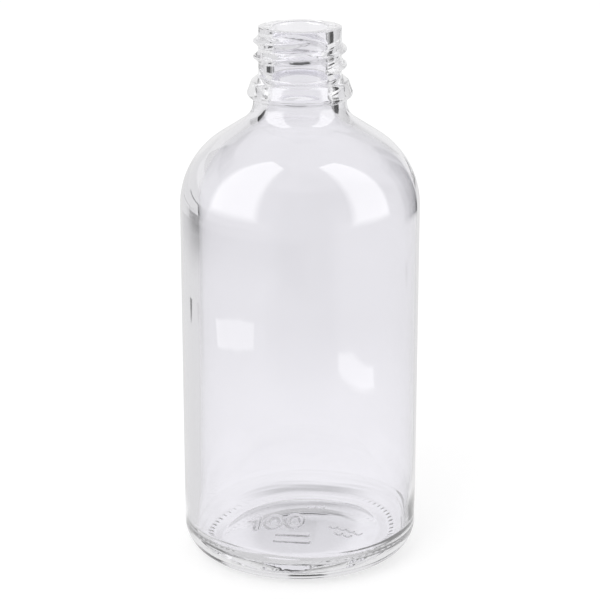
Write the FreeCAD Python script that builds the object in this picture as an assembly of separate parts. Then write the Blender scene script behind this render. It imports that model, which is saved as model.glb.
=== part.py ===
import FreeCAD, Part
import math
import os

# Round pharmacy bottle, blown in one piece of clear glass, with a screw finish for an 18 mm closure.
# Millimetres. +Z is up, the bottle's axis is Z, and the origin is the centre of the ring it stands on.
# Drops are measured down from the mouth, because a finish is gauged from its sealing face.

# Body
overall_height = 106.0
body_diameter = 46.6
wall_thickness = 2.0
cavity_offset = 1.1          # the wall is thicker towards -X, because the cavity was blown off centre
shoulder_radius = 16.2
shoulder_slope = 32.8        # degrees below horizontal, for the straight stretch under the neck

# Base
heel_radius = 6.0
bearing_band_width = 1.4
push_up_height = 2.0
push_up_rounding = 2.5       # between the bearing band and the dome under the base
floor_height = 4.0           # inner floor at its rim
floor_crown = 0.9            # how much the inner floor rises at its centre
inner_heel_radius = 3.6

# Grip marks on the heel's underside, a ring of short grooves pressed in by the mould's base plate
mark_count = 72
mark_length = 1.6
mark_width = 0.7
mark_depth = 0.25
mark_heel_angle = 18.5       # degrees up the heel's curve from the bearing band to a mark's middle

# Neck
neck_diameter = 18.0
neck_height = 0.75           # straight wall between the bead and the fillet into the shoulder
neck_fillet_radius = 4.0
bore_diameter = 10.6
bore_end_drop = 9.0          # where the bore starts to widen into the throat under it
throat_diameter = 12.2
throat_start_drop = 12.4     # where the throat has its full width
throat_foot_radius = 7.0     # rounding where the throat opens into the body
throat_reach = 5.0           # how far the throat's tool goes down from the neck's fillet, into the cavity
cavity_tip_margin = 1.8      # how far inside the throat's wall the cavity's flat top stays

# Lip
root_diameter = 15.9         # wall behind the thread, and the lip above it
lip_outer_radius = 1.2
lip_inner_radius = 0.5

# Bead under the thread, which stops the closure's security band
bead_diameter = 20.3
bead_start_drop = 9.2
bead_break_drop = 10.3       # where the steep upper face turns into the long tapered one
bead_break_diameter = 18.7
bead_widest_drop = 12.5
bead_end_drop = 13.7
bead_underside_bulge = 42.0  # degrees below level at which the underside stands furthest out

# Thread, right-handed, a single rounded bead that sinks into the wall at both ends
thread_height = 1.0          # crest over the wall
thread_pitch = 3.0
thread_first_drop = 7.2      # crest of the first turn where it crosses +X
thread_start_angle = -62.0   # degrees round from +X, anticlockwise seen from above
thread_end_angle = 652.0
thread_root_width = 2.2
thread_crest_radius = 0.42
thread_run_out = 44.0        # degrees over which the bead rises from the wall, or sinks into it
thread_sink = 0.12           # how far under the wall's surface the crest starts and ends
thread_bite = 0.5            # how deep the bead's root lies in the wall
thread_section_step = 17.0   # degrees from one cross-section of the bead to the next

edge_tolerance = 0.05        # for finding the edge at the throat's foot by its width

z_axis = FreeCAD.Vector(0, 0, 1)
body_radius = body_diameter / 2
neck_radius = neck_diameter / 2
bore_radius = bore_diameter / 2
throat_radius = throat_diameter / 2
root_radius = root_diameter / 2
bead_radius = bead_diameter / 2
thread_radius = root_radius + thread_height
slope = math.radians(shoulder_slope)
inward = FreeCAD.Vector(-math.sin(slope), 0, -math.cos(slope))   # square to the shoulder's slope
neck_fillet_centre = FreeCAD.Vector(neck_radius + neck_fillet_radius, 0,
                                    overall_height - bead_end_drop - neck_height)
bearing_outer_radius = body_radius - heel_radius
bearing_inner_radius = bearing_outer_radius - bearing_band_width
heel_centre = FreeCAD.Vector(bearing_outer_radius, 0, heel_radius)


# Points, lines and arcs of a profile, which lies in the XZ plane
def point(radius, height):
    return FreeCAD.Vector(radius, 0, height)


def on_circle(centre, radius, degrees):
    a = math.radians(degrees)
    return point(centre.x + radius * math.cos(a), centre.z + radius * math.sin(a))


def arc(centre, radius, first, last):
    start = on_circle(centre, radius, first)
    middle = on_circle(centre, radius, (first + last) / 2)
    return Part.Arc(start, middle, on_circle(centre, radius, last)).toShape()


def chain(*points):
    pairs = zip(points[:-1], points[1:])
    return [Part.LineSegment(a, b).toShape() for a, b in pairs]


def revolved(edges):
    face = Part.Face(Part.Wire(Part.__sortEdges__(edges)))
    return face.revolve(FreeCAD.Vector(0, 0, 0), z_axis, 360)


# Where the shoulder lies at a depth in the glass: its slope's top and foot, and its round part's centre
def shoulder(depth):
    top = neck_fillet_centre + inward * (neck_fillet_radius + depth)
    round_radius = shoulder_radius - depth
    foot_radius = body_radius - shoulder_radius + round_radius * math.sin(slope)
    foot = point(foot_radius, top.z - (foot_radius - top.x) * math.tan(slope))
    centre = foot + inward * round_radius
    return top, foot, centre


# A rounded corner that turns from a wall into a dome, and the dome, level where it meets the axis
def dome_edges(corner, rounding, rise, from_angle):
    lean = 2 * math.atan(rise / corner.x)
    dome_radius = corner.x / math.sin(lean) - rounding
    dome_centre = point(0, corner.z + rise - dome_radius)
    corner_centre = point(corner.x, corner.z + rounding)
    turned = -90 - math.degrees(lean)
    rim_angle = 90 - math.degrees(lean)
    return [arc(corner_centre, rounding, from_angle, turned), arc(dome_centre, dome_radius, rim_angle, 90)]


def bead_edges():
    start = point(root_radius, overall_height - bead_start_drop)
    turn = point(bead_break_diameter / 2, overall_height - bead_break_drop)
    widest = point(bead_radius, overall_height - bead_widest_drop)
    end = point(neck_radius, overall_height - bead_end_drop)
    underside = on_circle(point(neck_radius, widest.z), bead_radius - neck_radius, -bead_underside_bulge)
    return chain(start, turn, widest) + [Part.Arc(widest, underside, end).toShape()]


# Two equal arcs, each square to the mouth at one end, that widen the bore into the throat
def widening_edges():
    bore_end = point(bore_radius, overall_height - bore_end_drop)
    throat_start = point(throat_radius, overall_height - throat_start_drop)
    half_step = (throat_radius - bore_radius) / 2
    half_height = (bore_end.z - throat_start.z) / 2
    rounding = (half_step ** 2 + half_height ** 2) / (2 * half_step)
    swing = math.degrees(math.asin(half_height / rounding))
    upper_centre = point(bore_radius + rounding, bore_end.z)
    lower_centre = point(throat_radius - rounding, throat_start.z)
    return [arc(lower_centre, rounding, 0, swing), arc(upper_centre, rounding, 180 + swing, 180)]


# Bottle with its bore and throat, closed at the throat's foot, which the body's cavity opens later
def outer_form():
    mouth = overall_height
    slope_top, slope_foot, shoulder_centre = shoulder(0)
    throat_foot = neck_fillet_centre.z - throat_reach
    mark_zone = 2 * mark_heel_angle - 90
    lip_in = point(bore_radius + lip_inner_radius, mouth - lip_inner_radius)
    lip_out = point(root_radius - lip_outer_radius, mouth - lip_outer_radius)
    edges = chain(point(0, push_up_height), point(0, throat_foot), point(throat_radius, throat_foot),
                  point(throat_radius, mouth - throat_start_drop))
    edges += widening_edges()
    edges += chain(point(bore_radius, mouth - bore_end_drop), point(bore_radius, lip_in.z))
    edges.append(arc(lip_in, lip_inner_radius, 180, 90))
    edges += chain(point(lip_in.x, mouth), point(lip_out.x, mouth))
    edges.append(arc(lip_out, lip_outer_radius, 90, 0))
    edges += chain(point(root_radius, lip_out.z), point(root_radius, mouth - bead_start_drop))
    edges += bead_edges()
    edges += chain(point(neck_radius, mouth - bead_end_drop), point(neck_radius, neck_fillet_centre.z))
    edges.append(arc(neck_fillet_centre, neck_fillet_radius, 180, 270 - shoulder_slope))
    edges += chain(slope_top, slope_foot)
    edges.append(arc(shoulder_centre, shoulder_radius, 90 - shoulder_slope, 0))
    edges += chain(point(body_radius, shoulder_centre.z), point(body_radius, heel_radius))
    edges.append(arc(heel_centre, heel_radius, 0, mark_zone))
    edges.append(arc(heel_centre, heel_radius, mark_zone, -90))
    edges += chain(point(bearing_outer_radius, 0), point(bearing_inner_radius, 0))
    edges += dome_edges(point(bearing_inner_radius, 0), push_up_rounding, push_up_height, -90)
    return revolved(edges)


# Air space of the body, from the inner floor up to a flat end inside the throat
def cavity():
    radius = body_radius - wall_thickness
    slope_top, slope_foot, shoulder_centre = shoulder(wall_thickness)
    tip_radius = throat_radius - cavity_offset - cavity_tip_margin
    tip = point(tip_radius, slope_foot.z + (slope_foot.x - tip_radius) * math.tan(slope))
    floor_rim = point(radius - inner_heel_radius, floor_height)
    edges = chain(point(0, floor_height + floor_crown), point(0, tip.z), tip, slope_foot)
    edges.append(arc(shoulder_centre, shoulder_radius - wall_thickness, 90 - shoulder_slope, 0))
    edges += chain(point(radius, shoulder_centre.z), point(radius, floor_height + inner_heel_radius))
    edges += dome_edges(floor_rim, inner_heel_radius, floor_crown, 0)
    space = revolved(edges)
    space.translate(FreeCAD.Vector(cavity_offset, 0, 0))
    return space


# The edge that the cavity's slope leaves round the throat's foot, the only low one as wide as the throat
def throat_foot_edges(solid):
    low = neck_fillet_centre.z - throat_reach
    found = []
    for edge in solid.Edges:
        box = edge.BoundBox
        inside = box.ZMin > low and box.ZMax < overall_height - bead_end_drop
        width = max(box.XLength, box.YLength)
        if inside and abs(width - throat_diameter) < edge_tolerance:
            found.append(edge)
    return found


# Wedges that lie along the heel's curve and reach as far out of it as the marks go in
def grip_marks():
    half = mark_length / 2
    left = FreeCAD.Vector(-half, -mark_width, -mark_depth)
    right = FreeCAD.Vector(-half, mark_width, -mark_depth)
    crest = FreeCAD.Vector(-half, 0, mark_depth)
    wedge = Part.Face(Part.makePolygon([left, right, crest, left]))
    mark = wedge.extrude(FreeCAD.Vector(mark_length, 0, 0))
    mark.rotate(FreeCAD.Vector(0, 0, 0), FreeCAD.Vector(0, 1, 0), -mark_heel_angle)
    mark.translate(on_circle(heel_centre, heel_radius, mark_heel_angle - 90))
    marks = []
    for i in range(mark_count):
        turned = mark.copy()
        turned.rotate(FreeCAD.Vector(0, 0, 0), z_axis, 360.0 * (i + 0.5) / mark_count)
        marks.append(turned)
    return marks


# How far out the bead's crest stands at an angle, easing in and out of the wall
def crest_radius_at(angle):
    from_end = min(angle - thread_start_angle, thread_end_angle - angle)
    t = max(0.0, min(1.0, from_end / thread_run_out))
    eased = t * t * (3 - 2 * t)
    sunk = root_radius - thread_sink
    return sunk + (thread_radius - sunk) * eased


# Cross-section of the bead: straight flanks that touch a round crest, and a root buried in the wall
def thread_section(angle):
    half_width = thread_root_width / 2
    reach = thread_height - thread_crest_radius
    span = math.hypot(reach, half_width)
    flank = math.pi - math.atan2(half_width, reach) - math.acos(thread_crest_radius / span)
    shift = crest_radius_at(angle) - thread_radius
    crest_centre = point(thread_radius - thread_crest_radius + shift, 0)
    upper = on_circle(crest_centre, thread_crest_radius, math.degrees(flank))
    lower = point(upper.x, -upper.z)
    inner = root_radius - thread_bite + shift
    inner_half = upper.z + (upper.x - inner) / math.tan(flank)
    wire = Part.Wire([
        Part.LineSegment(point(inner, -inner_half), lower).toShape(),
        Part.Arc(lower, point(crest_centre.x + thread_crest_radius, 0), upper).toShape(),
        Part.LineSegment(upper, point(inner, inner_half)).toShape(),
        Part.LineSegment(point(inner, inner_half), point(inner, -inner_half)).toShape(),
    ])
    wire.rotate(FreeCAD.Vector(0, 0, 0), z_axis, angle)
    height = overall_height - thread_first_drop + thread_pitch * angle / 360
    wire.translate(FreeCAD.Vector(0, 0, height))
    return wire


def thread():
    steps = round((thread_end_angle - thread_start_angle) / thread_section_step)
    step = (thread_end_angle - thread_start_angle) / steps
    sections = [thread_section(thread_start_angle + step * i) for i in range(steps + 1)]
    return Part.makeLoft(sections, True, False)


def bottle():
    glass = outer_form().cut(cavity())
    glass = glass.makeFillet(throat_foot_radius, throat_foot_edges(glass))
    glass = glass.cut(grip_marks())
    return glass.fuse(thread())


os.makedirs("parts", exist_ok=True)
shape = bottle()
if shape.ShapeType == "Compound" and len(shape.Solids) == 1:
    shape = shape.Solids[0]
shape.exportStep("parts/bottle.step")
print("bottle", shape.ShapeType, shape.isValid(), "solids", len(shape.Solids), "faces", len(shape.Faces))
print("glass", round(shape.Volume / 1000, 2), "ml")
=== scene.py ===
import bpy
import bmesh
import math
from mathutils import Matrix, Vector, noise


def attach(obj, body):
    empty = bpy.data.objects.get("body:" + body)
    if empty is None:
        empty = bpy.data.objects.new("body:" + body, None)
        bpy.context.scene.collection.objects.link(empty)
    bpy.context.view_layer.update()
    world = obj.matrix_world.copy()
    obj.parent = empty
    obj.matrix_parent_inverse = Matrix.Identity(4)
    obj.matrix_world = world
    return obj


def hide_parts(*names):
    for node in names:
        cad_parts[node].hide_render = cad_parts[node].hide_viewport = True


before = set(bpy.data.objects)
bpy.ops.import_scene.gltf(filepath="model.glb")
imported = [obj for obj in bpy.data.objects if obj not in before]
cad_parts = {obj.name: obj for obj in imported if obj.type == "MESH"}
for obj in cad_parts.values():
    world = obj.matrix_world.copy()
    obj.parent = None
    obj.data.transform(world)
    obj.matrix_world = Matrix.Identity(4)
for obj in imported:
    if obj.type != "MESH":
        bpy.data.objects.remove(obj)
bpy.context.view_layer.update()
scene = bpy.context.scene
mm = 0.001

# The blown glass, in millimetres and degrees
glass = {
    "height": 106.0,
    "bodyRadius": 23.3,
    "wall": 2.0,
    "shoulderRadius": 16.2,
    "shoulderSlope": 32.8,
    "heelRadius": 6.0,
    "bandWidth": 1.4,           # the flat ring that the bottle stands on
    "pushUp": 2.0,              # how far the underside is domed
    "pushUpRounding": 2.5,
    "floor": 4.0,
    "floorCrown": 0.9,
    "innerHeel": 3.6,
    "neckRadius": 9.0,
    "neckHeight": 0.75,
    "neckFillet": 4.0,
    "boreRadius": 5.3,
    "boreEnd": 9.0,             # depth below the mouth
    "throatRadius": 6.1,
    "throatStart": 12.4,        # depth below the mouth
    "throatFoot": 7.0,
    "rootRadius": 7.95,         # the wall behind the thread
    "lipOuter": 1.2,
    "lipInner": 0.5,
    "fineHeel": 32.0,           # how far up the heel the rows are close, for the grip marks
    "segments": 288,            # four to each grip mark
}

# How many rows of faces each stretch of the section gets
rows = {
    "dome": 54,
    "domeEdge": 4,
    "band": 3,
    "heelLow": 14,
    "heelHigh": 10,
    "side": 12,
    "shoulder": 18,
    "slope": 3,
    "neckFoot": 7,
    "neck": 3,
    "beadLower": 8,
    "beadSide": 6,
    "beadTop": 4,
    "threadWall": 58,
    "lip": 12,
    "lipTop": 2,
    "boreLip": 6,
    "bore": 10,
    "throatArc": 6,
    "throatFoot": 16,
    "innerSlope": 5,
    "innerShoulder": 16,
    "innerSide": 18,
    "innerHeel": 28,
    "floor": 14,
}

# The bead under the thread: radii, and depths below the mouth
bead = {
    "radius": 10.15,
    "start": 9.2,
    "turn": 10.3,
    "turnRadius": 9.35,
    "widest": 12.5,
    "end": 13.7,
    "bulge": 42.0,              # which way its lower side bulges, in degrees under level
}

threadBead = {
    "crestRadius": 8.95,
    "pitch": 3.0,
    "firstDrop": 7.2,           # the crest's depth below the mouth at 0 degrees
    "startAngle": -62.0,
    "endAngle": 652.0,
    "halfWidth": 1.1,
    "crestRounding": 0.42,
    "runOut": 44.0,             # degrees over which each end sinks into the wall
    "sink": 0.12,               # and how deep it ends under it
}

gripMarks = {
    "count": 72,
    "length": 1.6,
    "depth": 0.25,
    "heelAngle": 18.5,          # how far up the heel their middle lies
    "endEase": 0.2,
    "sharpness": 4,             # their spacing over half their width
}

# What makes the blown glass differ from a turned one
blown = {
    "cavityOffset": 1.1,        # the cavity stands off towards +X
    "driftTop": 91.0,           # from this height down
    "driftGrowth": 12.0,        # and in full this far below it
    "driftFoot": -4.0,          # it would be back on the axis here
    "driftReturn": 22.0,        # and sets back this far above that
    "wave": 0.10,               # how far the inner wall wanders
    "waveLength": 17.0,
    "waveStretch": 0.7,
    "waveFrom": 6.0,            # heights between which it wanders, and how it eases in
    "waveTo": 90.0,
    "waveEaseLow": 6.0,
    "waveEaseHigh": 8.0,
    "noisePlace": (3.1, 0.4, 7.7),
    "ripple": 0.13,             # how far the inner heel ripples
    "rippleLength": 0.9,        # along the section
    "rippleRound": 11.0,        # and round the bottle
    "rippleFrom": 20.0,         # radius and height together, where it starts and ends
    "rippleTo": 31.0,
    "rippleEase": 3.0,
    "rippleTop": 14.0,
    "outerRipple": 0.09,        # the same on the outside, only inwards
    "outerRippleRound": 14.0,
    "outerRippleEase": 0.4,     # radians up the heel
}


def arcPoints(cx, cz, radius, first, last, steps):
    for i in range(1, steps + 1):
        a = math.radians(first + (last - first) * i / steps)
        yield cx + radius * math.cos(a), cz + radius * math.sin(a)


def linePoints(x0, z0, x1, z1, steps):
    for i in range(1, steps + 1):
        t = i / steps
        yield x0 + (x1 - x0) * t, z0 + (z1 - z0) * t


# Ends and centres of the shoulder's arc, its slope and the rounded foot of the neck
def shoulderPlaces():
    g = glass
    s = math.radians(g["shoulderSlope"])
    p = {"slope": s}
    p["filletX"] = g["neckRadius"] + g["neckFillet"]
    p["filletZ"] = g["height"] - bead["end"] - g["neckHeight"]
    p["slopeTopX"] = p["filletX"] - g["neckFillet"] * math.sin(s)
    p["slopeTopZ"] = p["filletZ"] - g["neckFillet"] * math.cos(s)
    p["roundX"] = g["bodyRadius"] - g["shoulderRadius"]
    p["footX"] = p["roundX"] + g["shoulderRadius"] * math.sin(s)
    p["footZ"] = p["slopeTopZ"] - (p["footX"] - p["slopeTopX"]) * math.tan(s)
    p["roundZ"] = p["footZ"] - g["shoulderRadius"] * math.cos(s)
    return p


# The underside from its middle out, and the ring that the bottle stands on
def undersidePoints():
    g = glass
    bandOut = g["bodyRadius"] - g["heelRadius"]
    bandIn = bandOut - g["bandWidth"]
    lean = 2 * math.atan(g["pushUp"] / bandIn)
    domeR = bandIn / math.sin(lean) - g["pushUpRounding"]
    deg = math.degrees(lean)
    yield 0.0, g["pushUp"]
    yield from arcPoints(0, g["pushUp"] - domeR, domeR, 90, 90 - deg, rows["dome"])
    yield from arcPoints(bandIn, g["pushUpRounding"], g["pushUpRounding"], -90 - deg, -90, rows["domeEdge"])
    yield from linePoints(bandIn, 0, bandOut, 0, rows["band"])


def heelPoints():
    g = glass
    middle = g["bodyRadius"] - g["heelRadius"]
    fineEnd = g["fineHeel"] - 90
    yield from arcPoints(middle, g["heelRadius"], g["heelRadius"], -90, fineEnd, rows["heelLow"])
    yield from arcPoints(middle, g["heelRadius"], g["heelRadius"], fineEnd, 0, rows["heelHigh"])


# The side, the shoulder and the neck up to the bead
def wallPoints(p):
    g = glass
    slope = g["shoulderSlope"]
    yield from linePoints(g["bodyRadius"], g["heelRadius"], g["bodyRadius"], p["roundZ"], rows["side"])
    yield from arcPoints(p["roundX"], p["roundZ"], g["shoulderRadius"], 0, 90 - slope, rows["shoulder"])
    yield from linePoints(p["footX"], p["footZ"], p["slopeTopX"], p["slopeTopZ"], rows["slope"])
    yield from arcPoints(p["filletX"], p["filletZ"], g["neckFillet"], 270 - slope, 180, rows["neckFoot"])
    neckTop = g["height"] - bead["end"]
    yield from linePoints(g["neckRadius"], p["filletZ"], g["neckRadius"], neckTop, rows["neck"])


# The bead under the thread: a bulging lower side, a slanting one, and a slope to the thread's wall
def beadPoints():
    g = glass
    top = g["height"]
    bulge = math.radians(-bead["bulge"])
    reach = bead["radius"] - g["neckRadius"]
    a = Vector((g["neckRadius"], top - bead["end"]))
    b = Vector((a.x + reach * math.cos(bulge), top - bead["widest"] + reach * math.sin(bulge)))
    c = Vector((bead["radius"], top - bead["widest"]))
    pull = 2 * b - (a + c) / 2
    for i in range(1, rows["beadLower"] + 1):
        t = i / rows["beadLower"]
        point = a * (1 - t) ** 2 + pull * 2 * t * (1 - t) + c * t ** 2
        yield point.x, point.y
    yield from linePoints(bead["radius"], top - bead["widest"], bead["turnRadius"], top - bead["turn"],
                          rows["beadSide"])
    yield from linePoints(bead["turnRadius"], top - bead["turn"], g["rootRadius"], top - bead["start"],
                          rows["beadTop"])


# The wall behind the thread, and the lip's outer side and top
def lipPoints():
    g = glass
    top = g["height"]
    lipX = g["rootRadius"] - g["lipOuter"]
    lipZ = top - g["lipOuter"]
    yield from linePoints(g["rootRadius"], top - bead["start"], g["rootRadius"], lipZ, rows["threadWall"])
    yield from arcPoints(lipX, lipZ, g["lipOuter"], 0, 90, rows["lip"])
    yield from linePoints(lipX, top, g["boreRadius"] + g["lipInner"], top, rows["lipTop"])


# The bore, and the two arcs by which it widens into the throat
def borePoints():
    g = glass
    top = g["height"]
    boreFoot = top - g["boreEnd"]
    yield from arcPoints(g["boreRadius"] + g["lipInner"], top - g["lipInner"], g["lipInner"], 90, 180,
                         rows["boreLip"])
    yield from linePoints(g["boreRadius"], top - g["lipInner"], g["boreRadius"], boreFoot, rows["bore"])
    halfStep = (g["throatRadius"] - g["boreRadius"]) / 2
    halfHeight = (g["throatStart"] - g["boreEnd"]) / 2
    swing = (halfStep ** 2 + halfHeight ** 2) / (2 * halfStep)
    turned = math.degrees(math.asin(halfHeight / swing))
    yield from arcPoints(g["boreRadius"] + swing, boreFoot, swing, 180, 180 + turned, rows["throatArc"])
    yield from arcPoints(g["throatRadius"] - swing, top - g["throatStart"], swing, turned, 0,
                         rows["throatArc"])


# The body's inside, from the throat's foot down to the middle of the floor
def cavityPoints(p):
    g = glass
    s = p["slope"]
    depth = g["wall"]
    foot = g["throatFoot"]
    footX = g["throatRadius"] + foot
    drop = g["neckFillet"] + depth - foot + (footX - p["filletX"]) * math.sin(s)
    footZ = p["filletZ"] - drop / math.cos(s)
    innerR = g["shoulderRadius"] - depth
    innerX = p["roundX"] + innerR * math.sin(s)
    innerZ = p["roundZ"] + innerR * math.cos(s)
    throat = list(arcPoints(footX, footZ, foot, 180, 270 - g["shoulderSlope"], rows["throatFoot"]))
    yield from throat
    yield from linePoints(*throat[-1], innerX, innerZ, rows["innerSlope"])
    yield from arcPoints(p["roundX"], p["roundZ"], innerR, 90 - g["shoulderSlope"], 0, rows["innerShoulder"])
    wallX = g["bodyRadius"] - depth
    heelZ = g["floor"] + g["innerHeel"]
    rimX = wallX - g["innerHeel"]
    yield from linePoints(wallX, p["roundZ"], wallX, heelZ, rows["innerSide"])
    lean = 2 * math.atan(g["floorCrown"] / rimX)
    deg = math.degrees(lean)
    crownR = rimX / math.sin(lean) - g["innerHeel"]
    yield from arcPoints(rimX, heelZ, g["innerHeel"], 0, -90 - deg, rows["innerHeel"])
    yield from arcPoints(0, g["floor"] + g["floorCrown"] - crownR, crownR, 90 - deg, 90, rows["floor"])


def smoothStep(t):
    t = max(0.0, min(1.0, t))
    return t * t * (3 - 2 * t)


# Height of the thread's bead over the wall at an angle round the neck and a height
def threadRise(angle, z):
    t = threadBead
    full = t["crestRadius"] - glass["rootRadius"]
    reach = full - t["crestRounding"]
    span = math.hypot(reach, t["halfWidth"])
    flank = math.pi - math.atan2(t["halfWidth"], reach) - math.acos(t["crestRounding"] / span)
    touch = t["crestRounding"] * math.sin(flank)
    best = 0.0
    turn = angle
    while turn < t["startAngle"]:
        turn += 360
    while turn <= t["endAngle"]:
        crestZ = glass["height"] - t["firstDrop"] + t["pitch"] * turn / 360
        d = abs(z - crestZ)
        if d < t["halfWidth"]:
            ease = smoothStep(min(turn - t["startAngle"], t["endAngle"] - turn) / t["runOut"])
            if d < touch:
                rise = reach + math.sqrt(t["crestRounding"] ** 2 - d * d)
            else:
                rise = (t["halfWidth"] - d) / math.tan(flank)
            rise -= (full + t["sink"]) * (1 - ease)
            best = max(best, rise)
        turn += 360
    return best


# Raised marks under the base: a plain number, dots and bars
baseMarks = {
    "rise": 0.38,
    "stroke": 0.45,             # half the width of a stroke
    "side": 0.22,               # width of its sloping side
    "digits": [("1", -9.2, 2.6), ("0", -5.9, 2.4), ("0", -1.7, 2.2)],
    "digitWidth": 1.45,
    "digitHeight": 2.9,
    "serif": (1.2, 1.3),
    "dotRadius": 0.25,
    "dots": [(6.4, -1.0), (8.2, -1.8), (10.0, -2.7), (11.4, -3.6), (7.4, -3.8), (9.2, -4.6),
             (1.6, 9.4), (3.4, 9.3)],
    "bars": [(-4.6, -3.6, 1.0, -4.6), (-5.0, -6.0, 1.2, -7.0)],
}


def segmentDistance(x, y, x0, y0, x1, y1):
    dx = x1 - x0
    dy = y1 - y0
    t = max(0.0, min(1.0, ((x - x0) * dx + (y - y0) * dy) / (dx * dx + dy * dy)))
    return math.hypot(x - x0 - dx * t, y - y0 - dy * t)


def markDistance(x, y):
    m = baseMarks
    w = m["digitWidth"]
    h = m["digitHeight"]
    best = math.inf
    for digit, cx, cy in m["digits"]:
        if abs(x - cx) > w + 1 or abs(y - cy) > h + 1:
            continue
        if digit == "1":
            serifX, serifY = m["serif"]
            best = min(best, segmentDistance(x, y, cx, cy - h, cx, cy + h))
            best = min(best, segmentDistance(x, y, cx, cy + h, cx - serifX, cy + h - serifY))
        else:
            u = math.hypot((x - cx) / w, (y - cy) / h)
            best = min(best, abs(u - 1) * (w if abs(y - cy) < h * 0.6 else (w + h) / 2))
    for cx, cy in m["dots"]:
        best = min(best, math.hypot(x - cx, y - cy) - m["dotRadius"])
    for x0, y0, x1, y1 in m["bars"]:
        best = min(best, segmentDistance(x, y, x0, y0, x1, y1))
    return best


# The blown inside drifts off the neck's axis, wanders a little and ripples in the heel
def blowInside(v, r):
    b = blown
    x, y, z = v.co
    lower = smoothStep((b["driftTop"] - z) / b["driftGrowth"])
    v.co.x += b["cavityOffset"] * lower * smoothStep((z - b["driftFoot"]) / b["driftReturn"])
    body = smoothStep((b["waveTo"] - z) / b["waveEaseHigh"])
    body *= smoothStep((z - b["waveFrom"]) / b["waveEaseLow"])
    if body > 0:
        place = Vector((x, y, z * b["waveStretch"])) / b["waveLength"] + Vector(b["noisePlace"])
        v.co += Vector((x, y, 0)).normalized() * noise.noise(place) * b["wave"] * body
    heel = smoothStep((r + z - b["rippleFrom"]) / b["rippleEase"])
    heel *= smoothStep((b["rippleTo"] - r - z) / b["rippleEase"])
    if z < b["rippleTop"] and heel > 0:
        place = Vector((x / b["rippleRound"], y / b["rippleRound"], (r + z) / b["rippleLength"]))
        v.co += Vector((x / r, y / r, -1)) * noise.noise(place) * b["ripple"] * heel


# The wall behind the thread grows out to the thread's bead
def growThread(v, r):
    angle = math.degrees(math.atan2(v.co.y, v.co.x))
    grow = glass["rootRadius"] + threadRise(angle, v.co.z) - r
    if r > glass["rootRadius"] - glass["lipOuter"] and grow > 0:
        v.co += Vector((v.co.x, v.co.y, 0)) * grow / r


# The heel ripples faintly, and the grip marks are pressed into its foot
def pressHeel(v, r):
    b = blown
    m = gripMarks
    x, y, z = v.co
    radius = glass["heelRadius"]
    up = math.atan2(r - glass["bodyRadius"] + radius, radius - z)
    outward = Vector((x / r * math.sin(up), y / r * math.sin(up), -math.cos(up)))
    place = Vector((x / b["outerRippleRound"], y / b["outerRippleRound"], up * radius / b["rippleLength"]))
    ends = smoothStep(up / b["outerRippleEase"]) * smoothStep((math.pi / 2 - up) / b["outerRippleEase"])
    v.co -= outward * b["outerRipple"] * (0.5 + 0.5 * noise.noise(place)) * ends
    along = abs(up - math.radians(m["heelAngle"])) * radius
    turn = (math.atan2(y, x) / math.tau * m["count"] - 0.5) % 1.0
    across = max(0.0, 1 - min(turn, 1 - turn) * m["sharpness"])
    v.co -= outward * m["depth"] * across * smoothStep((m["length"] / 2 - along) / m["endEase"] + 0.5)


def raiseMarks(v, r):
    m = baseMarks
    past = m["stroke"] + m["side"] - markDistance(v.co.x, v.co.y)
    if past > 0:
        v.co.z -= m["rise"] * smoothStep(past / (2 * m["side"]))


def leaveRound(v, r):
    pass


# One closed shell: the section is spun, then each stretch of it gets what isn't round
def makeGlass():
    places = shoulderPlaces()
    stretches = [
        (undersidePoints(), raiseMarks),
        (heelPoints(), pressHeel),
        (wallPoints(places), leaveRound),
        (beadPoints(), leaveRound),
        (lipPoints(), growThread),
        (borePoints(), leaveRound),
        (cavityPoints(places), blowInside),
    ]
    bm = bmesh.new()
    stretchOf = bm.verts.layers.int.new("stretch")
    chain = []
    for i, (points, shape) in enumerate(stretches):
        for x, z in points:
            v = bm.verts.new((x, 0, z))
            v[stretchOf] = i
            chain.append(v)
    edges = [bm.edges.new(pair) for pair in zip(chain[:-1], chain[1:])]
    bmesh.ops.spin(bm, geom=chain + edges, cent=(0, 0, 0), axis=(0, 0, 1), angle=math.tau,
                   steps=glass["segments"], use_merge=True, use_duplicate=False)
    bmesh.ops.remove_doubles(bm, verts=bm.verts[:], dist=0.0001)
    bmesh.ops.recalc_face_normals(bm, faces=bm.faces[:])
    print("spun", len(bm.verts), "points", len(bm.faces), "faces")
    for v in bm.verts:
        shape = stretches[v[stretchOf]][1]
        shape(v, math.hypot(v.co.x, v.co.y))
    bmesh.ops.scale(bm, vec=(mm, mm, mm), verts=bm.verts[:])
    mesh = bpy.data.meshes.new("bottleGlass")
    bm.to_mesh(mesh)
    print("glass counts", sum(len(f.verts) - 2 for f in bm.faces), "triangles")
    bm.free()
    for p in mesh.polygons:
        p.use_smooth = True
    piece = bpy.data.objects.new("bottleGlass", mesh)
    scene.collection.objects.link(piece)
    return piece


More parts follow.
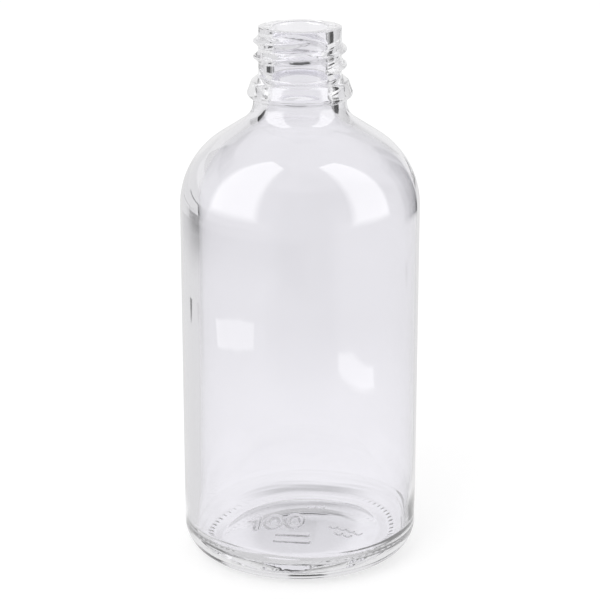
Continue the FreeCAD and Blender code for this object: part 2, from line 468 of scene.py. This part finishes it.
# Short ways to add nodes to one tree
class NodeTree:
    def __init__(self, tree):
        self.nodes = tree.nodes
        self.links = tree.links

    def add(self, kind, **settings):
        node = self.nodes.new(kind)
        for name, value in settings.items():
            setattr(node, name, value)
        return node

    def plug(self, value, socket):
        if isinstance(value, (int, float)):
            socket.default_value = value
        else:
            self.links.new(value, socket)

    def math(self, operation, a, b=0.0):
        node = self.add("ShaderNodeMath", operation=operation)
        self.plug(a, node.inputs[0])
        if operation not in ("ABSOLUTE", "SQRT"):
            self.plug(b, node.inputs[1])
        return node.outputs[0]

    def times(self, first, *others):
        for value in others:
            first = self.math("MULTIPLY", first, value)
        return first

    def mix(self, factor, a, b):
        node = self.add("ShaderNodeMix", data_type="FLOAT")
        self.plug(factor, node.inputs[0])
        self.plug(a, node.inputs[2])
        self.plug(b, node.inputs[3])
        return node.outputs[0]

    # 0 before one value and 1 past the other, eased between
    def step(self, value, low, high):
        node = self.add("ShaderNodeMapRange", interpolation_type="SMOOTHSTEP")
        self.plug(value, node.inputs["Value"])
        node.inputs["From Min"].default_value = low
        node.inputs["From Max"].default_value = high
        return node.outputs["Result"]

    # 1 above an edge with some ease on both its sides
    def above(self, value, edge, ease):
        return self.step(value, edge - ease, edge + ease)

    def below(self, value, edge, ease):
        return self.step(value, edge + ease, edge - ease)

    def between(self, value, low, high, ease):
        return self.times(self.above(value, low, ease), self.below(value, high, ease))

    def xyz(self, vector):
        split = self.add("ShaderNodeSeparateXYZ")
        self.links.new(vector, split.inputs["Vector"])
        return split.outputs["X"], split.outputs["Y"], split.outputs["Z"]

    def noise(self, vector, scale, detail):
        node = self.add("ShaderNodeTexNoise")
        node.inputs["Scale"].default_value = scale
        node.inputs["Detail"].default_value = detail
        self.links.new(vector, node.inputs["Vector"])
        return node.outputs["Fac"]


# What the glass is like
clearGlass = {
    "tint": (0.905, 0.90, 0.925, 1),
    "thinTint": 0.985,          # the tint's share where it is weakest
    "tintScale": 40.0,
    "tintFrom": 0.3,
    "tintTo": 0.7,
    "ior": 1.5,
    "roughness": 0.0,
    "longWave": 0.06,           # how much slow waves turn the surface
    "longScale": 60.0,
    "waveHeight": 0.001,
    "deepBounces": 3.5,         # mirrorings after which a path ends inside the wall
    "paintedDeepGlow": 0.42,          # painted glow that the glass gives off itself, for the light that such a path would still gather
    "paintedHeelGlow": 0.12,          # less of that painted glow in the heel, which comes out darker
    "heelFrom": 0.006,          # heights between which one passes into the other
    "heelTo": 0.012,
}


def makeGlassMaterial():
    c = clearGlass
    mat = bpy.data.materials.new("clearGlass")
    mat.use_nodes = True
    t = NodeTree(mat.node_tree)
    shader = t.nodes["Principled BSDF"]
    shader.inputs["Transmission Weight"].default_value = 1.0
    shader.inputs["IOR"].default_value = c["ior"]
    shader.inputs["Roughness"].default_value = c["roughness"]
    place = t.add("ShaderNodeTexCoord").outputs["Object"]

    # a tint that varies a little
    ramp = t.add("ShaderNodeValToRGB")
    low, high = ramp.color_ramp.elements
    low.position = c["tintFrom"]
    low.color = tuple(part * c["thinTint"] for part in c["tint"][:3]) + (1,)
    high.position = c["tintTo"]
    high.color = c["tint"]
    t.links.new(t.noise(place, c["tintScale"], 2.0), ramp.inputs["Fac"])
    t.links.new(ramp.outputs["Color"], shader.inputs["Base Color"])

    # slow waves of the surface
    bump = t.add("ShaderNodeBump")
    bump.inputs["Strength"].default_value = c["longWave"]
    bump.inputs["Distance"].default_value = c["waveHeight"]
    t.links.new(t.noise(place, c["longScale"], 1.0), bump.inputs["Height"])
    t.links.new(bump.outputs["Normal"], shader.inputs["Normal"])

    # painted glow: the glass gives off light itself on a path mirrored many times inside the wall, for the
    # light that the path would still gather when it ends there; less of it in the heel, a painted darker
    # heel
    path = t.add("ShaderNodeLightPath")
    deep = t.math("GREATER_THAN", path.outputs["Glossy Depth"], c["deepBounces"])
    t.links.new(deep, shader.inputs["Emission Color"])
    height = t.xyz(place)[2]
    light = t.mix(t.step(height, c["heelFrom"], c["heelTo"]), c["paintedHeelGlow"], c["paintedDeepGlow"])
    t.links.new(light, shader.inputs["Emission Strength"])
    return mat


bottleGlass = makeGlass()
bottleGlass.data.materials.append(makeGlassMaterial())
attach(bottleGlass, "root")
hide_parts("bottle")
print("glass made")


# Studio round the bottle, in metres: a lit table and a white sweep behind, pale room round them, an unlit
# stretch on both sides of the sweep, and a tall softbox on each side of the camera. Levels say how bright
# gloss and glass see a thing, bearings are degrees round from straight behind, and heights are sines.
room = {
    "dark": 0.02,               # the unlit stretches
    "dusk": 0.3,                # their outer ends
    "side": 0.78,               # the table beside the sweep
    "sideStart": 0.10,          # which starts this far out
    "sideEase": 0.07,
    "nearEnd": 0.030,           # and this far out for what the walls mirror
    "nearEase": 0.015,
    "nearFrom": 62.0,           # or nearer, past these bearings
    "nearTo": 75.0,
    "under": 1.09,              # the table close to the bottle
    "underEnd": 0.15,
    "underEase": 0.07,
    "middle": 0.95,             # and under its middle
    "middleEnd": 0.008,
    "middleEase": 0.006,
    "contactBack": 0.62,        # the shade where the bottle meets the table behind
    "contactFront": 0.84,       # and in front
    "contactAt": 0.0235,
    "contactReach": 0.0060,
    "contactBehind": (10, 44),  # bearings over which it fades
    "contactAhead": (100, 150),
    "back": 0.76,               # the room behind and above
    "horizon": 0.90,            # its lowest part, behind the sweep
    "horizonTop": (0.18, 0.32),
    "ceiling": 0.95,            # what is high above
    "ceilingStart": (0.62, 0.75),
    "front": 0.5,               # the room on the camera's side
    "frontEdge": -0.125,        # where the lit table ends towards the camera
    "frontSlope": 0.60,         # and how wide that is, as x over y
    "longPath": 1.25,           # makes up for the tint on a long way through the glass
    "longFrom": 4.5,            # which is one of more than this many surfaces
    "plain": 0.8,               # even light on the floor
    "paper": 0.42,              # the floor's own colour, which takes the shadow
    "paperLift": 0.68,          # what the camera sees on top of it, so that it comes out white
    "darkFrom": 34.0,           # bearings of the unlit stretches
    "duskFrom": 57.0,
    "duskTo": 66.0,
    "darkStart": 0.29,          # where the unlit floor starts on the right
    "farStart": 0.503,          # and on the left
    "farEdge": 53.0,            # up to this bearing
    "darkEnd": 0.538,           # where it ends on the left
    "darkEase": 0.01,
    "gapFrom": 18.0,            # an unlit gap far off on the right
    "gapTo": 30.0,
    "gapStart": 0.95,
    "armLeft": -0.17,           # a dark arm behind, its sides as x over y
    "armRight": 0.07,
    "armLow": 0.24,             # and its heights
    "armTop": 0.72,
    "darkLow": 0.30,            # where the unlit wall starts on the left
    "darkTop": 0.53,            # and where it ends
    "sweepEdge": 36.0,          # the sweep's half width, as a bearing
    "paintedShade": 0.58,              # how much a soft shade painted on the table takes away
    "paintedShadeNear": 0.208,
    "paintedShadeDeep": 0.268,
    "paintedShadeEnd": 0.288,
    "paintedShadeBearings": (24, 46),
    "softboxGlow": 4.7,
    "softboxInside": 0.15,      # the softboxes' share in what the inner faces mirror
    "patchInside": 0.35,        # and that of the patches on the table
    "size": 3.0,                # the table's radius
}


# Degrees round from straight behind the bottle
def bearingFrom(t, x, y):
    return t.times(t.math("ABSOLUTE", t.math("ARCTAN2", x, y)), 180 / math.pi)


# 1 for light that gloss and glass see
def shinySees(t, path):
    return t.math("MAXIMUM", path.outputs["Is Glossy Ray"], path.outputs["Is Transmission Ray"])


# More than 1 for light that has gone through more than two walls
def longGain(t, path):
    long = t.math("GREATER_THAN", path.outputs["Transmission Depth"], room["longFrom"])
    return t.mix(long, 1.0, room["longPath"])


# A level with the unlit stretches laid over it where the mask is 1
def withUnlit(t, level, bearing, mask):
    start = t.above(bearing, room["darkFrom"], 1)
    end = t.below(bearing, room["duskTo"], 2)
    tone = t.mix(t.above(bearing, room["duskFrom"], 1.5), room["dark"], room["dusk"])
    return t.mix(t.times(mask, start, end), level, tone)


def makeRoom():
    world = bpy.data.worlds.new("studio")
    scene.world = world
    world.use_nodes = True
    world.node_tree.nodes.clear()
    t = NodeTree(world.node_tree)
    x, y, z = t.xyz(t.add("ShaderNodeTexCoord").outputs["Generated"])
    bearing = bearingFrom(t, x, y)
    behind = t.mix(t.step(z, *room["horizonTop"]), room["horizon"], room["back"])
    seen = t.mix(t.above(y, 0.0, 0.1), room["front"], behind)
    seen = t.mix(t.step(z, *room["ceilingStart"]), seen, room["ceiling"])
    # the arm
    slope = t.math("DIVIDE", x, t.math("MAXIMUM", y, 0.01))
    arm = t.times(t.between(slope, room["armLeft"], room["armRight"], 0.02),
                  t.between(z, room["armLow"], room["armTop"], 0.02),
                  t.step(y, 0.01, 0.03))
    seen = t.mix(arm, seen, room["dark"])
    # the unlit wall, which starts higher up on the left
    raised = t.math("MAXIMUM", t.above(x, 0.0, 0.01), t.above(z, room["darkLow"], 0.01))
    seen = withUnlit(t, seen, bearing, t.times(raised, t.below(z, room["darkTop"], 0.03)))

    path = t.add("ShaderNodeLightPath")
    shiny = shinySees(t, path)
    plain = t.times(t.math("SUBTRACT", 1.0, shiny), room["plain"])
    level = t.math("ADD", t.times(seen, longGain(t, path), shiny), plain)
    level = t.math("MAXIMUM", level, path.outputs["Is Camera Ray"])
    back = t.add("ShaderNodeBackground")
    out = t.add("ShaderNodeOutputWorld")
    t.links.new(level, back.inputs["Color"])
    t.links.new(back.outputs["Background"], out.inputs["Surface"])


def stageMesh(name, bm, material):
    mesh = bpy.data.meshes.new(name)
    bm.to_mesh(mesh)
    bm.free()
    mesh.materials.append(material)
    obj = bpy.data.objects.new(name, mesh)
    scene.collection.objects.link(obj)
    return obj


# The table's level close to the bottle, with the shade where the two meet
def tableLevel(t, away, bearing, beside):
    lit = t.mix(t.step(away, room["underEnd"] - room["underEase"], room["underEnd"]), room["under"], 1.0)
    middle = t.step(away, room["middleEnd"], room["middleEnd"] + room["middleEase"])
    lit = t.mix(middle, room["middle"], lit)
    lit = t.mix(beside, lit, room["side"])
    ring = t.math("ABSOLUTE", t.math("SUBTRACT", away, room["contactAt"]))
    behind = t.mix(t.step(bearing, *room["contactBehind"]), room["contactBack"], 1.0)
    touch = t.mix(t.step(bearing, *room["contactAhead"]), behind, room["contactFront"])
    return t.times(lit, t.mix(t.step(ring, room["contactReach"], 0.0), 1.0, touch))


# What gloss and glass see of the floor: the lit table, the room in front of it and what lies behind it
def floorLevel(t, path):
    x, y, _ = t.xyz(t.add("ShaderNodeTexCoord").outputs["Object"])
    away = t.math("SQRT", t.math("ADD", t.times(x, x), t.times(y, y)))
    bearing = bearingFrom(t, x, y)
    onRight = t.above(x, 0.0, 0.01)
    onLeft = t.math("SUBTRACT", 1.0, onRight)

    # the walls mirror the table beside the sweep from nearer by
    mirrored = t.math("GREATER_THAN", path.outputs["Glossy Depth"], 0.5)
    outside = t.step(away, room["nearEnd"], room["nearEnd"] + room["nearEase"])
    outside = t.math("MAXIMUM", outside, t.step(bearing, room["nearFrom"], room["nearTo"]))
    beside = t.times(t.above(bearing, room["sweepEdge"], 3),
                     t.step(away, room["sideStart"], room["sideStart"] + room["sideEase"]))
    beside = t.math("MAXIMUM", beside, t.times(mirrored, outside))
    lit = tableLevel(t, away, bearing, beside)

    ratio = t.math("ABSOLUTE", t.math("DIVIDE", x, y))
    front = t.times(t.below(y, room["frontEdge"], 0.02), t.below(ratio, room["frontSlope"], 0.04))
    lit = t.mix(front, lit, room["front"])

    near = t.math("MAXIMUM", onRight, t.below(away, room["darkEnd"], room["darkEase"]))
    leftStart = t.mix(t.above(bearing, room["farEdge"], 1), room["farStart"], room["darkStart"])
    start = t.mix(onRight, leftStart, room["darkStart"])
    far = t.above(t.math("SUBTRACT", away, start), 0.0, room["darkEase"])
    lit = withUnlit(t, lit, bearing, t.times(far, near))
    gap = t.times(t.between(bearing, room["gapFrom"], room["gapTo"], 2),
                  t.above(away, room["gapStart"], 0.05), onRight)
    lit = t.mix(gap, lit, room["dark"])

    # a soft shade painted on the table's left, which only the outer wall's inner side mirrors
    paintedShade = t.times(t.step(away, room["paintedShadeNear"], room["paintedShadeDeep"]),
                    t.below(away, room["paintedShadeEnd"], 0.004),
                    t.step(bearing, *room["paintedShadeBearings"]), onLeft, mirrored)
    kept = t.math("SUBTRACT", 1.0, t.times(paintedShade, room["paintedShade"]))
    return t.times(lit, kept, longGain(t, path))


def makeFloorMaterial():
    mat = bpy.data.materials.new("paleFloor")
    mat.use_nodes = True
    mat.node_tree.nodes.clear()
    t = NodeTree(mat.node_tree)
    path = t.add("ShaderNodeLightPath")
    glow = t.add("ShaderNodeEmission")
    t.links.new(floorLevel(t, path), glow.inputs["Strength"])
    paper = t.add("ShaderNodeBsdfDiffuse")
    paper.inputs["Color"].default_value = (room["paper"], room["paper"], room["paper"], 1)
    lift = t.add("ShaderNodeEmission")
    t.links.new(t.times(path.outputs["Is Camera Ray"], room["paperLift"]), lift.inputs["Strength"])
    paperLit = t.add("ShaderNodeAddShader")
    t.links.new(paper.outputs[0], paperLit.inputs[0])
    t.links.new(lift.outputs[0], paperLit.inputs[1])
    mix = t.add("ShaderNodeMixShader")
    t.links.new(shinySees(t, path), mix.inputs[0])
    t.links.new(paperLit.outputs[0], mix.inputs[1])
    t.links.new(glow.outputs[0], mix.inputs[2])
    out = t.add("ShaderNodeOutputMaterial")
    t.links.new(mix.outputs[0], out.inputs["Surface"])
    return mat


# A panel that only gloss and glass see, and that fades out where its "cover" value falls to 0
def makePanelMaterial(name, strength, inside, mirroredOnly=False):
    mat = bpy.data.materials.new(name)
    mat.use_nodes = True
    mat.node_tree.nodes.clear()
    t = NodeTree(mat.node_tree)
    path = t.add("ShaderNodeLightPath")
    cover = t.add("ShaderNodeAttribute", attribute_name="cover")
    passed = t.math("GREATER_THAN", path.outputs["Transmission Depth"], 0.5)
    glow = t.add("ShaderNodeEmission")
    t.links.new(t.mix(passed, strength, strength * inside), glow.inputs["Strength"])
    clear = t.add("ShaderNodeBsdfTransparent")
    mix = t.add("ShaderNodeMixShader")
    shown = t.times(shinySees(t, path), cover.outputs["Fac"])
    if mirroredOnly:
        shown = t.times(shown, passed, t.math("GREATER_THAN", path.outputs["Glossy Depth"], 0.5))
    t.links.new(shown, mix.inputs[0])
    t.links.new(clear.outputs[0], mix.inputs[1])
    t.links.new(glow.outputs[0], mix.inputs[2])
    out = t.add("ShaderNodeOutputMaterial")
    t.links.new(mix.outputs[0], out.inputs["Surface"])
    return mat


def makePanel(name, corners, fade, material):
    bm = bmesh.new()
    cover = bm.verts.layers.float.new("cover")
    face = bm.faces.new([bm.verts.new(corner) for corner in corners])
    bm.normal_update()
    bmesh.ops.inset_individual(bm, faces=[face], thickness=fade)
    bm.verts.ensure_lookup_table()
    for v in bm.verts[len(corners):]:
        v[cover] = 1.0
    stageMesh(name, bm, material)


softboxes = {
    "softboxLeft": {"edge": [(-0.60, -0.77), (-1.00, 0.12)], "high": 3.2, "fade": 0.2},
    "softboxRight": {"edge": [(0.285, -0.278), (0.58, 0.03)], "high": 1.45, "fade": 0.09},
}

# Patches of light on the table, and a dark one, as corners in millimetres
tablePatches = {
    "patchLeft": {
        "corners": [(-183, -20), (-176, -64), (-157, -105), (-124, -140),
                    (-108, -122), (-125, -101), (-145, -66), (-156, -24)],
        "fade": 4,
        "glow": 2.6,
    },
    "patchRight": {
        "corners": [(90, -138), (120, -112), (140, -50), (121, -40), (97, -86), (79, -121)],
        "fade": 7,
        "glow": 2.8,
    },
    "shade": {
        "corners": [(-104, 155), (-120, 143), (-112, 134), (-97, 125), (-92, 128), (-97, 141)],
        "fade": 3,
        "glow": 0.1,
    },
}
floorDrop = 0.00002             # the floor lies this far under the bottle
patchHeight = 0.0004            # and the patches this far over it


def makeStage():
    bm = bmesh.new()
    bmesh.ops.create_circle(bm, cap_ends=True, radius=room["size"], segments=64)
    floor = stageMesh("floor", bm, makeFloorMaterial())
    floor.location.z = -floorDrop
    boxGlow = makePanelMaterial("softboxGlow", room["softboxGlow"], room["softboxInside"])
    for name, box in softboxes.items():
        (x0, y0), (x1, y1) = box["edge"]
        corners = [(x0, y0, 0), (x1, y1, 0), (x1, y1, box["high"]), (x0, y0, box["high"])]
        makePanel(name, corners, box["fade"], boxGlow)
    for name, patch in tablePatches.items():
        corners = [(x * mm, y * mm, patchHeight) for x, y in patch["corners"]]
        glow = makePanelMaterial(name + "Glow", patch["glow"], room["patchInside"], patch["glow"] < 1)
        makePanel(name, corners, patch["fade"] * mm, glow)


# Soft key light for the floor and for what else may stand here
keyLamp = {"place": (-0.6, -0.9, 1.2), "aim": (0, 0, 0.05), "size": 0.8, "power": 6.0}


def makeLamp():
    data = bpy.data.lights.new("keyLamp", "AREA")
    data.size = keyLamp["size"]
    data.energy = keyLamp["power"]
    lamp = bpy.data.objects.new("keyLamp", data)
    lamp.location = keyLamp["place"]
    aim = Vector(keyLamp["aim"]) - Vector(keyLamp["place"])
    lamp.rotation_euler = aim.to_track_quat("-Z", "Y").to_euler()
    lamp.visible_glossy = False
    lamp.visible_transmission = False
    scene.collection.objects.link(lamp)


view = {"place": (0.0, -0.385, 0.1719), "down": 17.34, "sensor": 36.0, "lens": 122.64, "clipStart": 0.01}


def makeCamera():
    data = bpy.data.cameras.new("camera")
    data.sensor_width = view["sensor"]
    data.lens = view["lens"]
    data.clip_start = view["clipStart"]
    camera = bpy.data.objects.new("camera", data)
    camera.location = view["place"]
    camera.rotation_euler = (math.radians(90 - view["down"]), 0, 0)
    scene.collection.objects.link(camera)
    scene.camera = camera


makeRoom()
makeStage()
makeLamp()
makeCamera()
scene.view_settings.view_transform = "Standard"
print("room, lamps and camera made")
